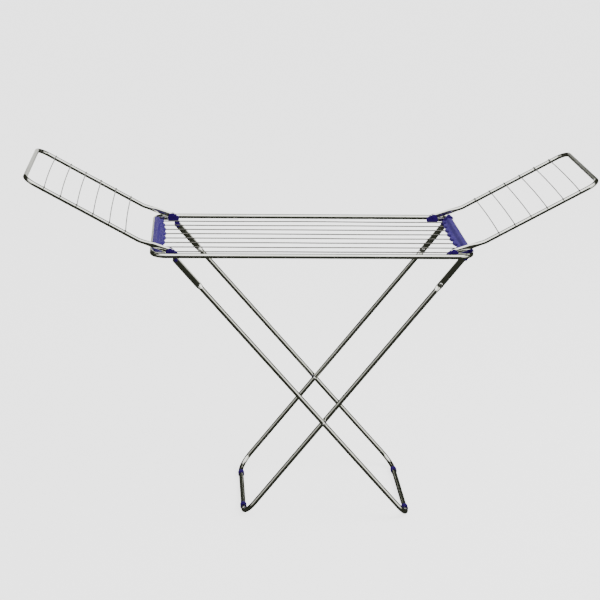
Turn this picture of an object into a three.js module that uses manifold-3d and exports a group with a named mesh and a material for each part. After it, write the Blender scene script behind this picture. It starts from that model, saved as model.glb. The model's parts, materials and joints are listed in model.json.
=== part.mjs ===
// Winged clothes drying rack: a steel main frame strung with wires, two hinged wings
// and two crossed leg frames that fold flat under the main frame.
// Millimetres, +Z up. X runs along the rack, Y across it, and the origin is on the
// floor at the middle. "front" is -Y, "back" is +Y, "left" is -X and "right" is +X.

import * as THREE from 'three';
import { mergeVertices } from 'three/addons/utils/BufferGeometryUtils.js';
import Module from 'manifold-3d';

const wasm = await Module();
wasm.setup();

// ---------------------------------------------------------------- driving dimensions

const GAP = 0.3; // left between separate parts that touch

const MAIN_LENGTH = 1000; // between the axes of the two end tubes
const MAIN_WIDTH = 550; // between the axes of the two side tubes
const MAIN_HEIGHT = 893; // tube axes above the floor
const MAIN_CORNER = 45; // bend radius at the corners
const BOW_STUB = 30; // straight end of a bow, past its corner
const TUBE_RADIUS = 8;
const TUBE_WALL = 0.9;
const CORNER_STEPS = 4;
const TUBE_SIDES = 10;

const MAIN_WIRES = 8;
const MAIN_WIRE_PITCH = 60;
const MAIN_WIRE_RADIUS = 2;
const MAIN_WIRE_DROP = 3; // wire axes below the tube axes
const MAIN_WIRE_END = 484; // half length of a wire
const WIRE_SIDES = 6;

const COMB_HALF_LENGTH = 215;
const COMB_TOP = 11; // top of the comb's rib, above the tube axes
const SHELF_TOP = 2;
const SHELF_BOTTOM = -8;
const SHELF_START = 9.5; // from the end tube's axis, going inwards
const RAMP_FOOT = 18.5; // where the rib's sloping inner face meets the shelf
const SHELF_END = 19; // at the comb's two ends
const SHELF_BULGE = 11; // further in at the middle of the comb
const RIB_WIDTH = 11.5;
const TOOTH_LENGTH = 9;
const TOOTH_ROOT = 26; // half width where a tooth leaves the shelf
const TOOTH_TIP = 4.5; // half width at its tip

const WING_WIDTH = 492;
const WING_RADIUS = 7;
const WING_PIVOT = new THREE.Vector2(441.5, MAIN_HEIGHT + 8); // x and z, right side
const WING_SLOPE = THREE.MathUtils.degToRad(28.84);
const TAIL_SLOPE = THREE.MathUtils.degToRad(18.8);
const TAIL_LENGTH = 104.8; // pivot to bend
const WING_REACH = 397; // bend to the axis of the wing's end tube
const TAIL_BEND_RADIUS = 60;
const WING_CORNER = 40;
const TAIL_OVERHANG = 5; // metal past the pivot
const TAIL_FLAT = 50; // length that is pressed flat
const TAIL_TAPER = 40;
const TAIL_THIN = 8 / 14; // pressed thickness over diameter
const TAIL_WIDE = 17.4 / 14; // pressed width over diameter

const WING_WIRES = 6;
const WING_WIRE_RADIUS = 1.6;
const FIRST_WING_WIRE = 50; // bend to the first wire
const WING_WIRE_PITCH = 56.4;
const WING_WIRE_OVERHANG = 4; // past the axis of the side tubes

const OUTER_LEG_WIDTH = 492;
const OUTER_LEG_TOP = new THREE.Vector2(-426, MAIN_HEIGHT - 21);
const OUTER_LEG_FOOT_X = 328;
const INNER_LEG_WIDTH = 454;
const INNER_LEG_TOP = new THREE.Vector2(478, MAIN_HEIGHT - 15);
const INNER_LEG_FOOT_X = -205;
const FOOT_HEIGHT = 11; // axis of the foot tubes above the floor
const LEG_CORNER = 55;
const OUTER_LEG_FLAT = 104; // length that is pressed flat, from the top point
const INNER_LEG_FLAT = 118;
const LEG_TAPER = 20;
const LEG_THIN = 5 / 16; // pressed thickness over diameter
const LEG_WIDE = 20.8 / 16; // pressed width over diameter
const OUTER_LEG_OVERHANG = 8; // metal past the pivot
const FULL_ROUND = 10.5; // overhang at which a pressed end would close to a point
const INNER_LEG_START = 16; // open end of the tube, along the leg from its top point

const RIVET_RADIUS = 2.8;
const RIVET_HOLE = 3.3;
const RIVET_HEAD = 5.5;
const RIVET_SIDES = 8;
const PIN_OUTER_HEAD = 2.2; // head heights
const PIN_INNER_HEAD = 1.2;
const CROSS_RIVET_HEAD = 2.4;
const HOOK_RIVET_HEAD = 1.6;
const WASHER_RADIUS = 7;

const BRACKET_INNER = 238; // inner face of the brackets, from the middle plane
const BRACKET_OUTER = 254.4;
const BRACKET_START = 421; // inner and outer ends of a bracket, along X
const BRACKET_END = 458;
const BRACKET_TOE = 1.5; // heights of a cheek's outline, from the tube axes
const BRACKET_INSTEP = 10;
const BRACKET_CROWN_IN = 17;
const BRACKET_CROWN_OUT = 17.5;
const BRACKET_SHOULDER = 14;
const BRACKET_HEEL = 5;
const BRACKET_TOP = 30; // above every part of a cheek
const LUG_RADIUS = 10;
const BRACKET_WEB_TOP = -2.4; // the web carries the arm's tongue, heights from the tube axes
const BRACKET_WEB_BOTTOM = -9;
const TONGUE_TOP = -3.7;
const TONGUE_BOTTOM = -7.5;
const ARM_TOP = 4;
const ARM_Y = 246;
const ARM_HALF_THICKNESS = 2.2;
const ARM_START = 425; // inner end of the arm's tongue, along X
const ARM_END = 496; // its outer end, cut to the end tube

const HOOK_HALF_WIDTH = 12;
const HOOK_HALF_THICKNESS = 6;
const HOOK_NOSE = 39; // past the leg's top point
const HOOK_SHOULDER = 3.7; // the block's end on the leg's side, with only the shank beyond it
const HOOK_NOTCH = TUBE_RADIUS + 0.7;
const HOOK_CHAMFER = 5;
const MOUTH_LENGTH = 40;
const MOUTH_TURN = THREE.MathUtils.degToRad(21); // from across the leg
const SHANK_LENGTH = 124; // from the leg's top point
const SHANK_HALF_WIDTH = 5.5;
const SHANK_HALF_THICKNESS = 1.5;
const HOOK_RIVET_AT = 111; // along the leg, from its top point

const RING_RADIUS = 10.6;
const RING_HALF_LENGTH = 11;
const RING_BORE = TUBE_RADIUS + GAP;
const RING_PAD = 6; // half width of the flat underside
const RING_STEPS = 16;
const BORE_STEPS = 24;
const DRILL = 20; // reach of a drill or a cutter to each side of a tube's axis
const OUTER_RING_Y = 170;
const INNER_RING_Y = 146;

// ---------------------------------------------------------------- materials

function chrome() {
  return new THREE.MeshStandardMaterial({ color: 0xc9c8c4, roughness: 0.16, metalness: 1 });
}

function wireSteel() {
  return new THREE.MeshStandardMaterial({ color: 0xb9b8b4, roughness: 0.28, metalness: 1 });
}

function combPlastic() {
  return new THREE.MeshStandardMaterial({ color: 0x5b4a9b, roughness: 0.45, metalness: 0 });
}

function darkPlastic() {
  return new THREE.MeshStandardMaterial({ color: 0x2a1066, roughness: 0.4, metalness: 0 });
}

function rivetSteel() {
  return new THREE.MeshStandardMaterial({ color: 0xd2d2d0, roughness: 0.3, metalness: 1 });
}

// ---------------------------------------------------------------- geometry helpers

// A curve that visits fixed stations, so that bends get many steps and straights one.
class StationCurve extends THREE.Curve {
  constructor(stations) {
    super();
    this.stations = stations;
  }

  station(u) {
    return this.stations[Math.round(u * (this.stations.length - 1))];
  }

  getPoint(u, target = new THREE.Vector3()) {
    return target.copy(this.station(u).point);
  }

  getPointAt(u, target) {
    return this.getPoint(u, target);
  }

  getTangentAt(u, target = new THREE.Vector3()) {
    return target.copy(this.station(u).tangent);
  }
}

function circlePoints(radius, sides) {
  const points = [];
  for (let i = 0; i < sides; i += 1) {
    const angle = (i / sides) * Math.PI * 2;
    points.push(new THREE.Vector2(radius * Math.cos(angle), radius * Math.sin(angle)));
  }
  return points;
}

function tubeGeometry(stations, radius) {
  const section = new THREE.Shape(circlePoints(radius, TUBE_SIDES));
  section.holes.push(new THREE.Path(circlePoints(radius - TUBE_WALL, TUBE_SIDES)));
  const extrudePath = new StationCurve(stations);
  return new THREE.ExtrudeGeometry(section, { steps: stations.length - 1, extrudePath });
}

function rodGeometry(stations, radius, sides) {
  const section = new THREE.Shape(circlePoints(radius, sides));
  const extrudePath = new StationCurve(stations);
  return new THREE.ExtrudeGeometry(section, { steps: stations.length - 1, extrudePath });
}

function station(point, tangent) {
  return { point, tangent };
}

// Stations round a bend that starts at `start` heading `from` and ends heading `to`.
function bend(start, from, to, radius, steps) {
  const angle = from.angleTo(to);
  const inward = to.clone().addScaledVector(from, -to.dot(from)).normalize();
  const stations = [];
  for (let i = 0; i <= steps; i += 1) {
    const turned = (angle * i) / steps;
    const point = start.clone();
    point.addScaledVector(from, radius * Math.sin(turned));
    point.addScaledVector(inward, radius * (1 - Math.cos(turned)));
    const tangent = from.clone().multiplyScalar(Math.cos(turned));
    tangent.addScaledVector(inward, Math.sin(turned));
    stations.push(station(point, tangent));
  }
  return stations;
}

// A U in the plane z = height: down one side, round two corners and back up the other.
// `sideStations` gives the first side at +Y; the other side is its mirror image.
function uStations(sideStations, reach, halfWidth, corner, height) {
  const outwards = new THREE.Vector3(1, 0, 0);
  const across = new THREE.Vector3(0, -1, 0);
  const cornerStart = new THREE.Vector3(reach - corner, halfWidth, height);
  const firstHalf = [...sideStations, ...bend(cornerStart, outwards, across, corner, CORNER_STEPS)];
  const secondHalf = firstHalf.map(({ point, tangent }) =>
    station(
      new THREE.Vector3(point.x, -point.y, point.z),
      new THREE.Vector3(-tangent.x, tangent.y, -tangent.z),
    ),
  );
  return [...firstHalf, ...secondHalf.reverse()];
}

// Presses the open ends of a U flat: thinner across the rack and wider in its own plane.
// `centreHeight` gives the height of the tube's axis at a distance along the side.
function pressEnds(geometry, halfWidth, flat, taper, thin, wide, centreHeight) {
  const position = geometry.attributes.position;
  for (let i = 0; i < position.count; i += 1) {
    const x = position.getX(i);
    const pressed = 1 - THREE.MathUtils.smoothstep(x, flat, flat + taper);
    if (pressed > 0) {
      const axisY = Math.sign(position.getY(i)) * halfWidth;
      const axisZ = centreHeight(x);
      const acrossScale = THREE.MathUtils.lerp(1, thin, pressed);
      const heightScale = THREE.MathUtils.lerp(1, wide, pressed) * endRounding(x);
      position.setY(i, axisY + (position.getY(i) - axisY) * acrossScale);
      position.setZ(i, axisZ + (position.getZ(i) - axisZ) * heightScale);
    }
  }
  return geometry;
}

// The pressed end narrows past the pivot, like a rounded tongue.
function endRounding(x) {
  const overhang = Math.max(0, -x);
  return Math.sqrt(1 - (overhang / FULL_ROUND) ** 2);
}

function toSolid(geometry) {
  const bare = geometry.clone();
  bare.deleteAttribute('normal');
  bare.deleteAttribute('uv');
  const merged = mergeVertices(bare, 1e-4);
  const mesh = new wasm.Mesh({
    numProp: 3,
    vertProperties: new Float32Array(merged.attributes.position.array),
    triVerts: new Uint32Array(merged.index.array),
  });
  mesh.merge();
  return new wasm.Manifold(mesh);
}

function toGeometry(solid) {
  const mesh = solid.getMesh();
  const geometry = new THREE.BufferGeometry();
  geometry.setAttribute('position', new THREE.BufferAttribute(mesh.vertProperties, 3));
  geometry.setIndex(new THREE.BufferAttribute(mesh.triVerts, 1));
  geometry.computeVertexNormals();
  return geometry;
}

// A round bar along Y, used to drill and to notch.
function barAlongY(radius, x, z, yFrom, yTo, sides = RIVET_SIDES) {
  const bar = new THREE.CylinderGeometry(radius, radius, Math.abs(yTo - yFrom), sides);
  bar.translate(x, (yFrom + yTo) / 2, z);
  return toSolid(bar);
}

function boxSolid(xFrom, xTo, yFrom, yTo, zFrom, zTo) {
  const size = [xTo - xFrom, yTo - yFrom, zTo - zFrom];
  const box = new THREE.BoxGeometry(...size.map(Math.abs));
  box.translate((xFrom + xTo) / 2, (yFrom + yTo) / 2, (zFrom + zTo) / 2);
  return toSolid(box);
}

// Extrudes a profile drawn in X and Z along Y, from yFrom up to yTo.
function profileAlongY(profile, yFrom, yTo) {
  const shape = new THREE.Shape(profile.map(([x, z]) => new THREE.Vector2(x, -z)));
  const depth = yTo - yFrom;
  const geometry = new THREE.ExtrudeGeometry(shape, { depth, bevelEnabled: false });
  geometry.rotateX(-Math.PI / 2);
  geometry.translate(0, yFrom, 0);
  return geometry;
}

// A rivet along Y with a domed head at each end. The two lengths give the grip's faces.
function rivetGeometry(gripFrom, gripTo, headFrom, headTo) {
  const profile = [
    new THREE.Vector2(0, gripFrom - headFrom),
    new THREE.Vector2(RIVET_HEAD * 0.7, gripFrom - headFrom * 0.75),
    new THREE.Vector2(RIVET_HEAD, gripFrom),
    new THREE.Vector2(RIVET_RADIUS, gripFrom),
    new THREE.Vector2(RIVET_RADIUS, gripTo),
    new THREE.Vector2(RIVET_HEAD, gripTo),
    new THREE.Vector2(RIVET_HEAD * 0.7, gripTo + headTo * 0.75),
    new THREE.Vector2(0, gripTo + headTo),
  ];
  return new THREE.LatheGeometry(profile, RIVET_SIDES);
}

function meshOf(name, geometry, material) {
  const mesh = new THREE.Mesh(geometry, material);
  mesh.name = name;
  return mesh;
}

function frontOrBack(ySign) {
  return ySign < 0 ? 'front' : 'back';
}

// ---------------------------------------------------------------- main frame

const rack = new THREE.Group();

// The right end is built as it stands; the left end is the same, turned half round.
const ends = [
  { name: 'right', sign: 1, group: new THREE.Group() },
  { name: 'left', sign: -1, group: new THREE.Group() },
];
for (const end of ends) {
  end.group.rotation.z = end.sign > 0 ? 0 : Math.PI;
  rack.add(end.group);
}

function sideTubes() {
  const halfLength = MAIN_LENGTH / 2 - MAIN_CORNER - BOW_STUB - GAP / 2;
  const along = new THREE.Vector3(1, 0, 0);
  for (const ySign of [-1, 1]) {
    const stations = [-halfLength, halfLength].map((x) =>
      station(new THREE.Vector3(x, (ySign * MAIN_WIDTH) / 2, MAIN_HEIGHT), along),
    );
    const geometry = tubeGeometry(stations, TUBE_RADIUS);
    rack.add(meshOf(`side_tube_${frontOrBack(ySign)}`, geometry, chrome()));
  }
}

function bowStations() {
  const along = new THREE.Vector3(1, 0, 0);
  const halfWidth = MAIN_WIDTH / 2;
  const start = MAIN_LENGTH / 2 - MAIN_CORNER - BOW_STUB + GAP / 2;
  const stub = station(new THREE.Vector3(start, halfWidth, MAIN_HEIGHT), along);
  return uStations([stub], MAIN_LENGTH / 2, halfWidth, MAIN_CORNER, MAIN_HEIGHT);
}

function endBow(end) {
  const geometry = tubeGeometry(bowStations(), TUBE_RADIUS);
  end.group.add(meshOf(`end_bow_${end.name}`, geometry, chrome()));
}

function wireY(i) {
  return (i - (MAIN_WIRES - 1) / 2) * MAIN_WIRE_PITCH;
}

function mainWires() {
  const along = new THREE.Vector3(1, 0, 0);
  const z = MAIN_HEIGHT - MAIN_WIRE_DROP;
  for (let i = 0; i < MAIN_WIRES; i += 1) {
    const stations = [-MAIN_WIRE_END, MAIN_WIRE_END].map((x) =>
      station(new THREE.Vector3(x, wireY(i), z), along),
    );
    const geometry = rodGeometry(stations, MAIN_WIRE_RADIUS, WIRE_SIDES);
    rack.add(meshOf(`main_wire_${i + 1}`, geometry, wireSteel()));
  }
}

// ---------------------------------------------------------------- combs

// Distance from the end tube's axis to the shelf's inner edge.
function shelfEdge(y) {
  return SHELF_END + SHELF_BULGE * (1 - (y / COMB_HALF_LENGTH) ** 2);
}

// The toothed shelf, drawn with X measured inwards from the end tube's axis.
function combShelf() {
  const outline = [new THREE.Vector2(SHELF_START, -COMB_HALF_LENGTH)];
  outline.push(new THREE.Vector2(shelfEdge(COMB_HALF_LENGTH), -COMB_HALF_LENGTH));
  for (let i = 0; i < MAIN_WIRES; i += 1) {
    const y = wireY(i);
    const tip = shelfEdge(y) + TOOTH_LENGTH;
    const rootFrom = Math.max(y - TOOTH_ROOT, -COMB_HALF_LENGTH + 1);
    const rootTo = Math.min(y + TOOTH_ROOT, COMB_HALF_LENGTH - 1);
    outline.push(new THREE.Vector2(shelfEdge(rootFrom), rootFrom));
    outline.push(new THREE.Vector2(tip, Math.max(y - TOOTH_TIP, -COMB_HALF_LENGTH + 0.5)));
    outline.push(new THREE.Vector2(tip, Math.min(y + TOOTH_TIP, COMB_HALF_LENGTH - 0.5)));
    outline.push(new THREE.Vector2(shelfEdge(rootTo), rootTo));
  }
  outline.push(new THREE.Vector2(shelfEdge(COMB_HALF_LENGTH), COMB_HALF_LENGTH));
  outline.push(new THREE.Vector2(SHELF_START, COMB_HALF_LENGTH));
  const shape = new THREE.Shape(outline);
  const depth = SHELF_TOP - SHELF_BOTTOM;
  const geometry = new THREE.ExtrudeGeometry(shape, { depth, bevelEnabled: false });
  geometry.translate(0, 0, SHELF_BOTTOM);
  return toSolid(geometry);
}

// The rib that saddles the end tube: its bore follows the tube from the outer top
// round to the inner underside.
function combRib() {
  const bore = TUBE_RADIUS + GAP;
  const profile = [];
  const boreSteps = 7;
  const boreFrom = THREE.MathUtils.degToRad(100);
  const boreTo = THREE.MathUtils.degToRad(-40);
  for (let i = 0; i <= boreSteps; i += 1) {
    const angle = THREE.MathUtils.lerp(boreFrom, boreTo, i / boreSteps);
    const radius = bore / Math.cos((boreFrom - boreTo) / boreSteps / 2);
    profile.push([radius * Math.cos(angle), radius * Math.sin(angle)]);
  }
  profile.push([RAMP_FOOT, SHELF_BOTTOM]);
  profile.push([RAMP_FOOT, SHELF_TOP]);
  profile.push([RIB_WIDTH, COMB_TOP]);
  profile.push([profile[0][0], COMB_TOP]);
  return toSolid(profileAlongY(profile, -COMB_HALF_LENGTH, COMB_HALF_LENGTH));
}

function comb(end) {
  let solid = combShelf().add(combRib());
  for (let i = 0; i < MAIN_WIRES; i += 1) {
    const blindEnd = MAIN_LENGTH / 2 - MAIN_WIRE_END - GAP;
    const holeLength = shelfEdge(wireY(i)) + TOOTH_LENGTH + 1 - blindEnd;
    const radius = MAIN_WIRE_RADIUS + GAP + 0.1;
    const hole = new THREE.CylinderGeometry(radius, radius, holeLength, WIRE_SIDES);
    hole.rotateZ(Math.PI / 2);
    hole.translate(blindEnd + holeLength / 2, wireY(i), -MAIN_WIRE_DROP);
    solid = solid.subtract(toSolid(hole));
  }
  const geometry = toGeometry(solid);
  geometry.rotateZ(Math.PI);
  geometry.translate(MAIN_LENGTH / 2, 0, MAIN_HEIGHT);
  end.group.add(meshOf(`comb_${end.name}`, geometry, combPlastic()));
}

// ---------------------------------------------------------------- arms and brackets

// A flat steel arm from the end tube inwards. Its tongue carries the bracket.
function arm(end, ySign) {
  const shoulder = BRACKET_END + GAP;
  const profile = [
    [ARM_START, TONGUE_BOTTOM],
    [ARM_END, TONGUE_BOTTOM],
    [ARM_END, ARM_TOP],
    [shoulder, ARM_TOP],
    [shoulder, TONGUE_TOP],
    [ARM_START, TONGUE_TOP],
  ];
  const yFrom = ySign * ARM_Y - ARM_HALF_THICKNESS;
  const yTo = ySign * ARM_Y + ARM_HALF_THICKNESS;
  const flat = profileAlongY(profile, yFrom, yTo);
  flat.translate(0, 0, MAIN_HEIGHT);
  const seat = rodGeometry(bowStations(), TUBE_RADIUS + GAP, TUBE_SIDES);
  const geometry = toGeometry(toSolid(flat).subtract(toSolid(seat)));
  const name = `hinge_arm_${end.name}_${frontOrBack(ySign * end.sign)}`;
  end.group.add(meshOf(name, geometry, chrome()));
}

// The moulded bracket: a slot for the wing's tail above, and on the left end a lug for
// the outer leg below. Drawn with X outwards and Z from the tube axes.
function bracket(end, ySign) {
  const wingPivotZ = WING_PIVOT.y - MAIN_HEIGHT;
  const cheeks = [
    [BRACKET_START, BRACKET_WEB_BOTTOM],
    [BRACKET_END, BRACKET_WEB_BOTTOM],
    [BRACKET_END, BRACKET_HEEL],
    [BRACKET_END - 5, BRACKET_SHOULDER],
    [BRACKET_END - 12, BRACKET_CROWN_OUT],
    [BRACKET_END - 19, BRACKET_CROWN_IN],
    [BRACKET_END - 27, BRACKET_INSTEP],
    [BRACKET_START, BRACKET_TOE],
  ];
  const yFrom = ySign > 0 ? BRACKET_INNER : -BRACKET_OUTER;
  const yTo = ySign > 0 ? BRACKET_OUTER : -BRACKET_INNER;
  let solid = toSolid(profileAlongY(cheeks, yFrom, yTo));
  const tailSlot = TAIL_THIN * WING_RADIUS + GAP + 0.1;
  const slotMiddle = (ySign * WING_WIDTH) / 2;
  const below = BRACKET_START - 1;
  const beyond = BRACKET_END + 1;
  solid = solid.subtract(
    boxSolid(
      below,
      beyond,
      slotMiddle - tailSlot,
      slotMiddle + tailSlot,
      BRACKET_WEB_TOP,
      BRACKET_TOP,
    ),
  );
  solid = solid.subtract(
    barAlongY(RIVET_HOLE, WING_PIVOT.x, wingPivotZ, yFrom - 1, yTo + 1),
  );
  solid = solid.subtract(
    boxSolid(
      ARM_START - GAP,
      beyond,
      ySign * ARM_Y - ARM_HALF_THICKNESS - GAP,
      ySign * ARM_Y + ARM_HALF_THICKNESS + GAP,
      TONGUE_BOTTOM - GAP,
      TONGUE_TOP + GAP,
    ),
  );
  if (end.sign < 0) {
    solid = solid.add(legLug(ySign, yFrom, yTo));
  }
  const geometry = toGeometry(solid);
  geometry.translate(0, 0, MAIN_HEIGHT);
  const name = `hinge_bracket_${end.name}_${frontOrBack(ySign * end.sign)}`;
  end.group.add(meshOf(name, geometry, darkPlastic()));
}

// The lug hangs from the bracket's inner half. The leg's pressed end lies outside it.
function legLug(ySign, yFrom, yTo) {
  const pivotX = -OUTER_LEG_TOP.x;
  const pivotZ = OUTER_LEG_TOP.y - MAIN_HEIGHT;
  const radius = LUG_RADIUS;
  const lugTop = BRACKET_WEB_BOTTOM + 1;
  const profile = [[pivotX + radius, lugTop]];
  const steps = 8;
  for (let i = 0; i <= steps; i += 1) {
    const angle = (-Math.PI * i) / steps;
    profile.push([pivotX + radius * Math.cos(angle), pivotZ + radius * Math.sin(angle)]);
  }
  profile.push([Math.max(pivotX - radius + 2, BRACKET_START + 1), lugTop]);
  const legFace = (ySign * OUTER_LEG_WIDTH) / 2 - ySign * (LEG_THIN * TUBE_RADIUS + GAP + 0.2);
  const lug = toSolid(profileAlongY(profile, yFrom, yTo));
  const slot = boxSolid(
    pivotX - radius - 1,
    pivotX + radius + 1,
    legFace,
    ySign * (BRACKET_OUTER + 1),
    pivotZ - radius - 1,
    BRACKET_WEB_BOTTOM,
  );
  return lug.subtract(slot).subtract(barAlongY(RIVET_HOLE, pivotX, pivotZ, yFrom - 1, yTo + 1));
}

// A moulded pin through a bracket, on the axis at x, z. Its outer head sits at `face`.
function bracketPin(name, end, ySign, x, z, face) {
  const inner = ySign * (BRACKET_INNER - GAP);
  const outer = ySign * (face + GAP);
  const geometry =
    ySign > 0
      ? rivetGeometry(inner, outer, PIN_INNER_HEAD, PIN_OUTER_HEAD)
      : rivetGeometry(outer, inner, PIN_OUTER_HEAD, PIN_INNER_HEAD);
  geometry.translate(x, 0, z);
  end.group.add(meshOf(name, geometry, darkPlastic()));
}

// ---------------------------------------------------------------- wings

function tailPoint(distance, halfWidth) {
  const drop = WING_SLOPE - TAIL_SLOPE;
  return new THREE.Vector3(distance * Math.cos(drop), halfWidth, -distance * Math.sin(drop));
}

// Built with X along the wing's main slope and the pivot at the origin.
function wing(end) {
  const drop = WING_SLOPE - TAIL_SLOPE;
  const halfWidth = WING_WIDTH / 2;
  const alongTail = new THREE.Vector3(Math.cos(drop), 0, -Math.sin(drop));
  const alongWing = new THREE.Vector3(1, 0, 0);
  const setback = TAIL_BEND_RADIUS * Math.tan(drop / 2);
  const bendX = TAIL_LENGTH * Math.cos(drop);
  const planeZ = -TAIL_LENGTH * Math.sin(drop);
  const tailStops = [-TAIL_OVERHANG, -TAIL_OVERHANG / 2, 0, TAIL_FLAT, TAIL_FLAT + TAIL_TAPER / 2];
  tailStops.push(TAIL_FLAT + TAIL_TAPER);
  const side = tailStops.map((distance) => station(tailPoint(distance, halfWidth), alongTail));
  const bendStart = tailPoint(TAIL_LENGTH - setback, halfWidth);
  side.push(...bend(bendStart, alongTail, alongWing, TAIL_BEND_RADIUS, 2));
  const reach = bendX + WING_REACH;
  const stations = uStations(side, reach, halfWidth, WING_CORNER, planeZ);
  const geometry = pressEnds(
    tubeGeometry(stations, WING_RADIUS),
    halfWidth,
    TAIL_FLAT,
    TAIL_TAPER,
    TAIL_THIN,
    TAIL_WIDE,
    (x) => -x * Math.tan(drop),
  );
  let solid = toSolid(geometry);
  for (const y of [-halfWidth, halfWidth]) {
    solid = solid.subtract(barAlongY(RIVET_HOLE, 0, 0, y - DRILL, y + DRILL));
  }

  const group = new THREE.Group();
  group.position.set(WING_PIVOT.x, 0, WING_PIVOT.y);
  group.rotation.y = -WING_SLOPE;
  group.add(meshOf(`wing_tube_${end.name}`, toGeometry(solid), chrome()));
  const across = new THREE.Vector3(0, 1, 0);
  const wireEnd = halfWidth + WING_WIRE_OVERHANG;
  const wireZ = planeZ + WING_RADIUS + GAP + WING_WIRE_RADIUS;
  for (let i = 0; i < WING_WIRES; i += 1) {
    const x = bendX + FIRST_WING_WIRE + i * WING_WIRE_PITCH;
    const tips = [-wireEnd, wireEnd].map((y) => station(new THREE.Vector3(x, y, wireZ), across));
    const wire = rodGeometry(tips, WING_WIRE_RADIUS, WIRE_SIDES);
    group.add(meshOf(`wing_wire_${end.name}_${i + 1}`, wire, wireSteel()));
  }
  end.group.add(group);
}

// ---------------------------------------------------------------- legs

// Where the two leg frames cross, in X and Z.
function legCrossing() {
  const outerFoot = new THREE.Vector2(OUTER_LEG_FOOT_X, FOOT_HEIGHT);
  const innerFoot = new THREE.Vector2(INNER_LEG_FOOT_X, FOOT_HEIGHT);
  const outerRun = outerFoot.clone().sub(OUTER_LEG_TOP);
  const innerRun = innerFoot.clone().sub(INNER_LEG_TOP);
  const between = INNER_LEG_TOP.clone().sub(OUTER_LEG_TOP);
  const share = between.cross(innerRun) / outerRun.cross(innerRun);
  return OUTER_LEG_TOP.clone().addScaledVector(outerRun, share);
}

const crossing = legCrossing();

// A leg frame is built with its top point at the origin and X running down the leg.
// `start` is where its metal begins and `flat` where the pressed length ends.
function legFrame(name, top, footX, width, start, flat) {
  const run = new THREE.Vector2(footX, FOOT_HEIGHT).sub(top);
  const length = run.length();
  const halfWidth = width / 2;
  const down = new THREE.Vector3(1, 0, 0);
  const stops = [start, flat, flat + LEG_TAPER / 2, flat + LEG_TAPER];
  if (start < 0) {
    stops.splice(1, 0, start / 2, 0);
  }
  const side = stops.map((x) => station(new THREE.Vector3(x, halfWidth, 0), down));
  const stations = uStations(side, length, halfWidth, LEG_CORNER, 0);
  const geometry = pressEnds(
    tubeGeometry(stations, TUBE_RADIUS),
    halfWidth,
    flat,
    LEG_TAPER,
    LEG_THIN,
    LEG_WIDE,
    () => 0,
  );
  const holes = [crossing.clone().sub(top).length(), start < 0 ? 0 : HOOK_RIVET_AT];
  let solid = toSolid(geometry);
  for (const x of holes) {
    for (const y of [-halfWidth, halfWidth]) {
      solid = solid.subtract(barAlongY(RIVET_HOLE, x, 0, y - DRILL, y + DRILL));
    }
  }
  const group = new THREE.Group();
  group.position.set(top.x, 0, top.y);
  group.rotation.y = Math.atan2(-run.y, run.x);
  group.add(meshOf(name, toGeometry(solid), chrome()));
  rack.add(group);
  return group;
}

function crossPivot(ySign) {
  const inner = INNER_LEG_WIDTH / 2 - TUBE_RADIUS - GAP;
  const outer = OUTER_LEG_WIDTH / 2 + TUBE_RADIUS + GAP;
  const head = CROSS_RIVET_HEAD;
  const rivet =
    ySign > 0
      ? rivetGeometry(inner, outer, head, head)
      : rivetGeometry(-outer, -inner, head, head);
  rivet.translate(crossing.x, 0, crossing.y);
  rack.add(meshOf(`cross_rivet_${frontOrBack(ySign)}`, rivet, rivetSteel()));

  const washerFrom = INNER_LEG_WIDTH / 2 + TUBE_RADIUS + GAP;
  const washerTo = OUTER_LEG_WIDTH / 2 - TUBE_RADIUS - GAP;
  const profile = [
    new THREE.Vector2(RIVET_RADIUS + GAP, washerFrom),
    new THREE.Vector2(WASHER_RADIUS, washerFrom),
    new THREE.Vector2(WASHER_RADIUS, washerTo),
    new THREE.Vector2(RIVET_RADIUS + GAP, washerTo),
    new THREE.Vector2(RIVET_RADIUS + GAP, washerFrom),
  ];
  const washer = new THREE.LatheGeometry(profile, RIVET_SIDES);
  if (ySign < 0) {
    washer.rotateX(Math.PI);
  }
  washer.translate(crossing.x, 0, crossing.y);
  rack.add(meshOf(`cross_washer_${frontOrBack(ySign)}`, washer, darkPlastic()));
}

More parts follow.
